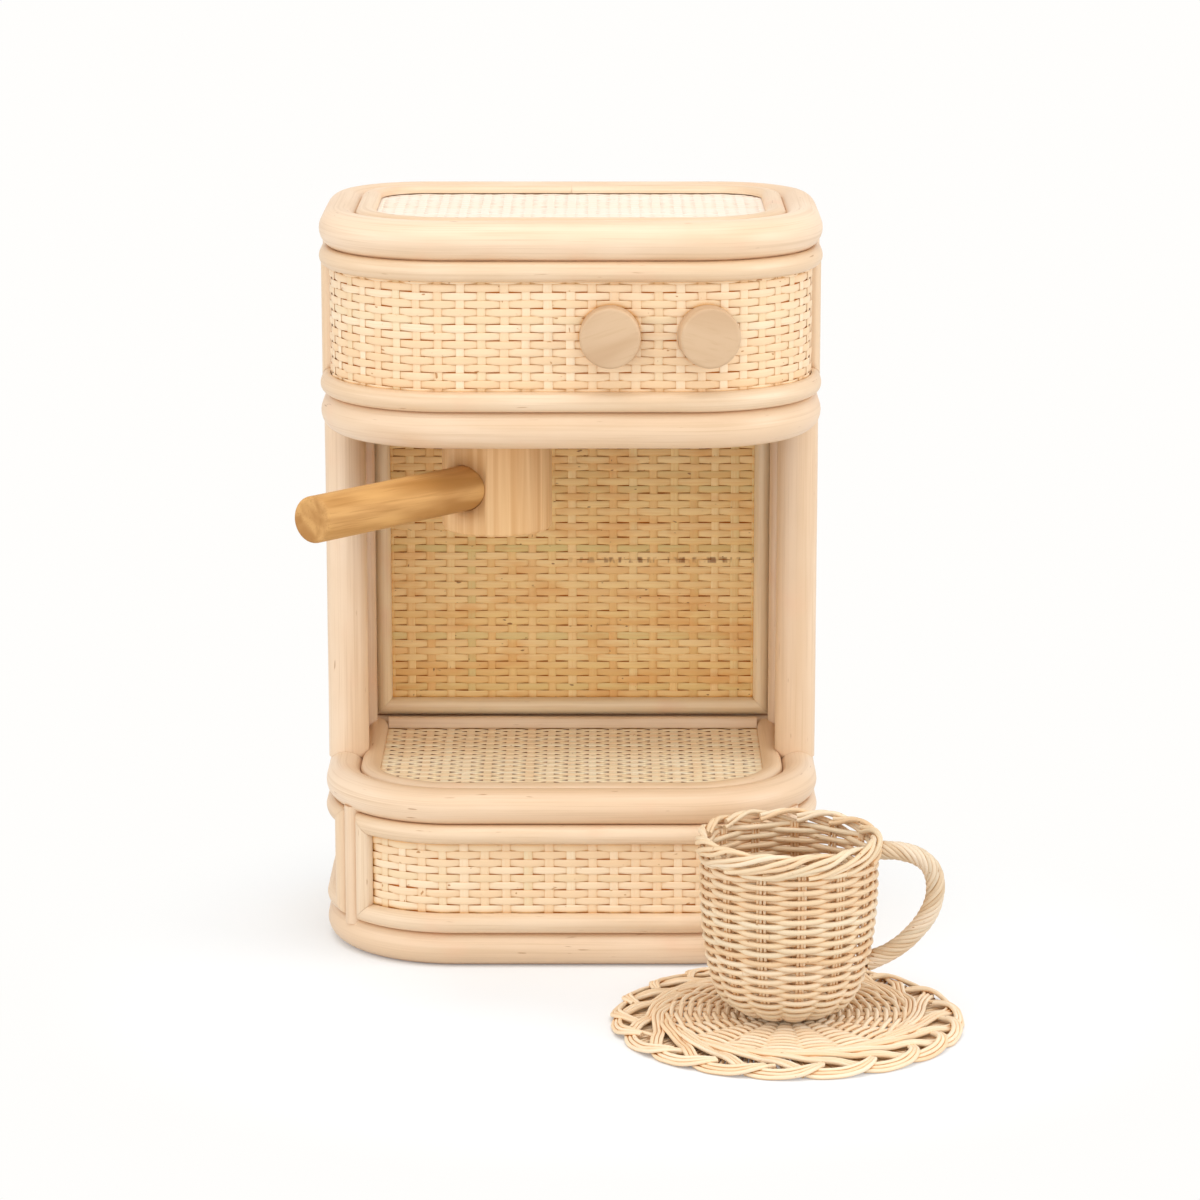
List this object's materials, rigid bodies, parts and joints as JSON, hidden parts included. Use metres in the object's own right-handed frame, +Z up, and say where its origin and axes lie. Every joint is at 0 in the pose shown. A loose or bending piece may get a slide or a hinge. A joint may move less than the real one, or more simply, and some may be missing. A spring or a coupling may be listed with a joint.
{
  "type": "toy coffee maker",
  "caption": "Rattan toy espresso machine with woven panels, turning knobs, a swinging handle, and a wicker cup on a saucer.",
  "frame": {"origin": "on the floor, under the middle of the machine's hoops", "axes": "+Z up, front towards -Y, +X to the right as seen from the front"},
  "size_m": [0.3201, 0.3478, 0.3737],
  "materials": {
    "rattan_pole": "satin",
    "rattan_trim": "satin",
    "cane_weave": "satin",
    "pine_rail": "matte",
    "wicker": "satin",
    "saucer_wicker": "satin",
    "block_wood": "matte",
    "handle_wood": "satin",
    "knob_wood": "satin",
    "screw_steel": "satin"
  },
  "bodies": {
    "machine": {"base_back_trim": "rattan_trim", "base_back_weave": "cane_weave", "base_backing_strips": "pine_rail", "base_bottom_hoop": "rattan_pole", "base_corner_battens": "rattan_pole", "base_front_trim": "rattan_trim", "base_front_weave": "cane_weave", "base_left_trim": "rattan_trim", "base_left_weave": "cane_weave", "base_right_trim": "rattan_trim", "base_right_weave": "cane_weave", "base_top_hoop": "rattan_pole", "column_inner_trim": "rattan_trim", "column_inner_weave": "cane_weave", "column_rails": "pine_rail", "column_shell_trim": "rattan_trim", "column_shell_weave": "cane_weave", "group_board": "pine_rail", "group_washer": "handle_wood", "head_backing_strips": "pine_rail", "head_bottom_hoop": "rattan_pole", "head_front_trim": "rattan_trim", "head_front_weave": "cane_weave", "head_rear_trim": "rattan_trim", "head_rear_weave": "cane_weave", "head_side_battens": "rattan_pole", "head_top_hoop": "rattan_pole", "knob_blocks": "pine_rail", "left_front_post": "rattan_pole", "platform_back_batten": "rattan_trim", "platform_rails": "pine_rail", "platform_ring_trim": "rattan_trim", "platform_weave": "cane_weave", "post_screws": "screw_steel", "rear_posts": "rattan_pole", "right_front_post": "rattan_pole", "top_rails": "pine_rail", "top_ring_trim": "rattan_trim", "top_weave": "cane_weave"},
    "left_knob": {"left_knob": "knob_wood", "left_knob_spindle": "knob_wood", "left_knob_collar": "knob_wood"},
    "right_knob": {"right_knob": "knob_wood", "right_knob_spindle": "knob_wood", "right_knob_collar": "knob_wood"},
    "portafilter": {"group_block": "block_wood", "group_handle": "handle_wood", "group_dowel": "handle_wood", "group_collar": "handle_wood"},
    "saucer": {"saucer_disc": "saucer_wicker", "saucer_border": "saucer_wicker"},
    "cup": {"cup_wall": "wicker", "cup_rim": "wicker", "cup_handle": "wicker"}
  },
  "joints": [
    {"name": "left_knob_turn", "type": "hinge", "parent": "machine", "child": "left_knob", "pos_m": [0.0193, -0.0832, 0.3189], "axis": [0, -1, 0], "continuous": true},
    {"name": "right_knob_turn", "type": "hinge", "parent": "machine", "child": "right_knob", "pos_m": [0.0663, -0.08264, 0.3189], "axis": [0.1334, -0.9911, 0], "continuous": true},
    {"name": "handle_swing", "type": "hinge", "parent": "machine", "child": "portafilter", "pos_m": [-0.0372, -0.0257, 0.2356], "axis": [0, 0, 1], "range_deg": [-52, 116]},
    {"name": "saucer_lift", "type": "slide", "parent": "machine", "child": "saucer", "axis": [0, 0, 1], "range_m": [0, 0.12]},
    {"name": "cup_lift", "type": "slide", "parent": "saucer", "child": "cup", "axis": [0, 0, 1], "range_m": [0, 0.12]}
  ]
}
